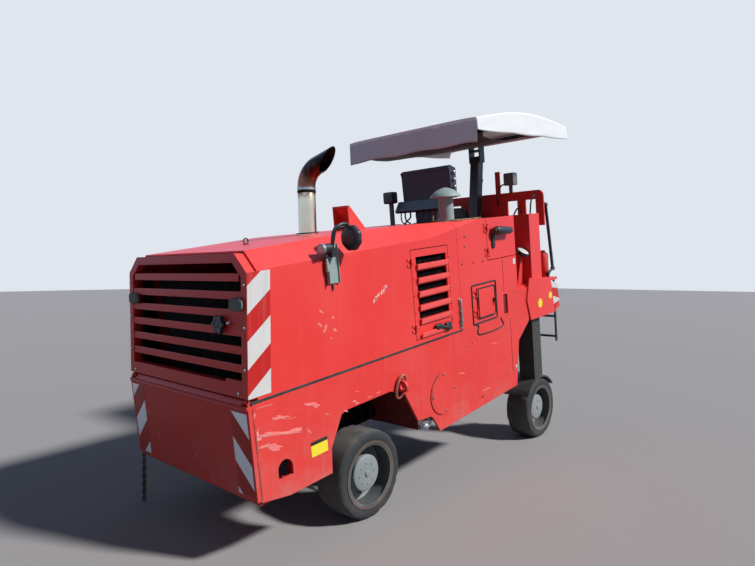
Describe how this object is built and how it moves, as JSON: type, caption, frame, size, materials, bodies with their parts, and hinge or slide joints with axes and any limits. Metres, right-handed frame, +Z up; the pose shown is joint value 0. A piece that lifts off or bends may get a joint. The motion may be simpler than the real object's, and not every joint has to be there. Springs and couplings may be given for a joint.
{
  "type": "compact wheeled cold planer milling machine",
  "caption": "Compact road milling machine: raked grille and hinged hood, drum chamber amidships, steered front wheels, rear legs that lift, standing station under a canopy.",
  "frame": {"origin": "middle of the parked machine's box, on the ground under it", "axes": "+X forward, +Y to the machine's left, +Z up; the body is parked nose-down by 7 degrees"},
  "size_m": [4.1336, 1.6749, 3.3037],
  "materials": {
    "red_paint": "faded gloss",
    "chassis_red": "scuffed",
    "grey_paint": "satin",
    "engine_iron": "matte",
    "radiator_black": "matte",
    "exhaust_steel": "heat stained",
    "black_plastic": "matte",
    "console_grey": "satin",
    "lamp_housing": "matte",
    "canopy_vinyl": "dusty vinyl",
    "seat_vinyl": "worn",
    "drum_steel": "worn",
    "solid_tyre": "chipped"
  },
  "bodies": {
    "root": {"chassis_core": "chassis_red", "side_plate_left": "chassis_red", "side_plate_right": "chassis_red", "front_weight": "chassis_red", "engine_block": "engine_iron", "radiator": "radiator_black", "drum_box": "chassis_red", "rear_body": "red_paint", "station_floor": "chassis_red", "rear_guard": "chassis_red", "console": "console_grey", "air_precleaner": "grey_paint", "lamp_front": "lamp_housing", "lamp_rear": "lamp_housing", "canopy_post": "grey_paint", "canopy_frame": "grey_paint", "canopy_cover": "canopy_vinyl", "operator_seat": "seat_vinyl", "leg_guide_left": "red_paint", "leg_guide_right": "red_paint", "front_axle": "grey_paint", "skirt_left": "red_paint", "skirt_right": "red_paint", "rear_ladder": "grey_paint", "conveyor_hitch": "chassis_red"},
    "hood": {"hood": "red_paint", "exhaust_stack": "exhaust_steel", "intake_scoop": "chassis_red", "mirror_left": "black_plastic"},
    "grille_door": {"grille_door": "red_paint"},
    "louvre_door": {"louvre_door": "red_paint"},
    "side_door": {"side_door": "red_paint"},
    "access_door": {"access_door": "red_paint"},
    "drum": {"milling_drum": "drum_steel"},
    "scraper": {"scraper_blade": "chassis_red"},
    "leg_left": {"leg_left": "grey_paint"},
    "leg_right": {"leg_right": "grey_paint"},
    "rear_wheel_left": {"rear_wheel_left": "solid_tyre"},
    "rear_wheel_right": {"rear_wheel_right": "solid_tyre"},
    "knuckle_left": {"knuckle_left": "grey_paint"},
    "knuckle_right": {"knuckle_right": "grey_paint"},
    "front_wheel_left": {"front_wheel_left": "solid_tyre"},
    "front_wheel_right": {"front_wheel_right": "solid_tyre"},
    "tie_rod": {"tie_rod": "grey_paint"}
  },
  "joints": [
    {"name": "hood_hinge", "type": "hinge", "parent": "root", "child": "hood", "pos_m": [2.04278, -0.0375, 0.97165], "axis": [0, 1, 0], "range_deg": [0, 42]},
    {"name": "grille_hinge", "type": "hinge", "parent": "hood", "child": "grille_door", "pos_m": [1.99551, -0.7725, 1.07644], "axis": [-0.0098, 0, -1], "range_deg": [0, 100]},
    {"name": "louvre_hinge", "type": "hinge", "parent": "hood", "child": "louvre_door", "pos_m": [0.54428, 0.6975, 1.27251], "axis": [-0.1219, 0, -0.9925], "range_deg": [0, 110]},
    {"name": "side_door_hinge", "type": "hinge", "parent": "root", "child": "side_door", "pos_m": [-0.48162, 0.6975, 1.90223], "axis": [-0.1219, 0, -0.9925], "range_deg": [0, 100]},
    {"name": "access_door_hinge", "type": "hinge", "parent": "root", "child": "access_door", "pos_m": [-0.31427, 0.6975, 1.37793], "axis": [-0.1219, 0, -0.9925], "range_deg": [0, 120]},
    {"name": "drum_spin", "type": "hinge", "parent": "root", "child": "drum", "pos_m": [-0.39394, -0.0375, 0.94239], "axis": [0, 1, 0], "continuous": true},
    {"name": "scraper_lift", "type": "slide", "parent": "root", "child": "scraper", "axis": [0.1219, 0, 0.9925], "range_m": [0, 0.2]},
    {"name": "leg_left_slide", "type": "slide", "parent": "root", "child": "leg_left", "axis": [0.1219, 0, 0.9925], "range_m": [-0.05, 0.36]},
    {"name": "rear_wheel_left_spin", "type": "hinge", "parent": "leg_left", "child": "rear_wheel_left", "pos_m": [-1.60868, 0.5365, 0.305], "axis": [0, 1, 0], "continuous": true},
    {"name": "leg_right_slide", "type": "slide", "parent": "root", "child": "leg_right", "axis": [0.1219, 0, 0.9925], "range_m": [-0.05, 0.36]},
    {"name": "rear_wheel_right_spin", "type": "hinge", "parent": "leg_right", "child": "rear_wheel_right", "pos_m": [-1.60868, -0.6115, 0.305], "axis": [0, 1, 0], "continuous": true},
    {"name": "steer_left", "type": "hinge", "parent": "root", "child": "knuckle_left", "pos_m": [1.03906, 0.3625, 0.305], "axis": [0.1219, 0, 0.9925], "range_deg": [-30, 30]},
    {"name": "front_wheel_left_spin", "type": "hinge", "parent": "knuckle_left", "child": "front_wheel_left", "pos_m": [1.03906, 0.5675, 0.305], "axis": [0, 1, 0], "continuous": true},
    {"name": "steer_right", "type": "hinge", "parent": "root", "child": "knuckle_right", "pos_m": [1.03906, -0.4375, 0.305], "axis": [0.1219, 0, 0.9925], "range_deg": [-30, 30]},
    {"name": "front_wheel_right_spin", "type": "hinge", "parent": "knuckle_right", "child": "front_wheel_right", "pos_m": [1.03906, -0.6425, 0.305], "axis": [0, 1, 0], "continuous": true},
    {"name": "tie_rod_slide", "type": "slide", "parent": "root", "child": "tie_rod", "axis": [0, 1, 0], "range_m": [-0.1, 0.1]}
  ],
  "couplings": [
    {"joint": "steer_right", "follows": "steer_left", "ratio": 1},
    {"joint": "tie_rod_slide", "follows": "steer_left", "m_per_rad": -0.17}
  ]
}
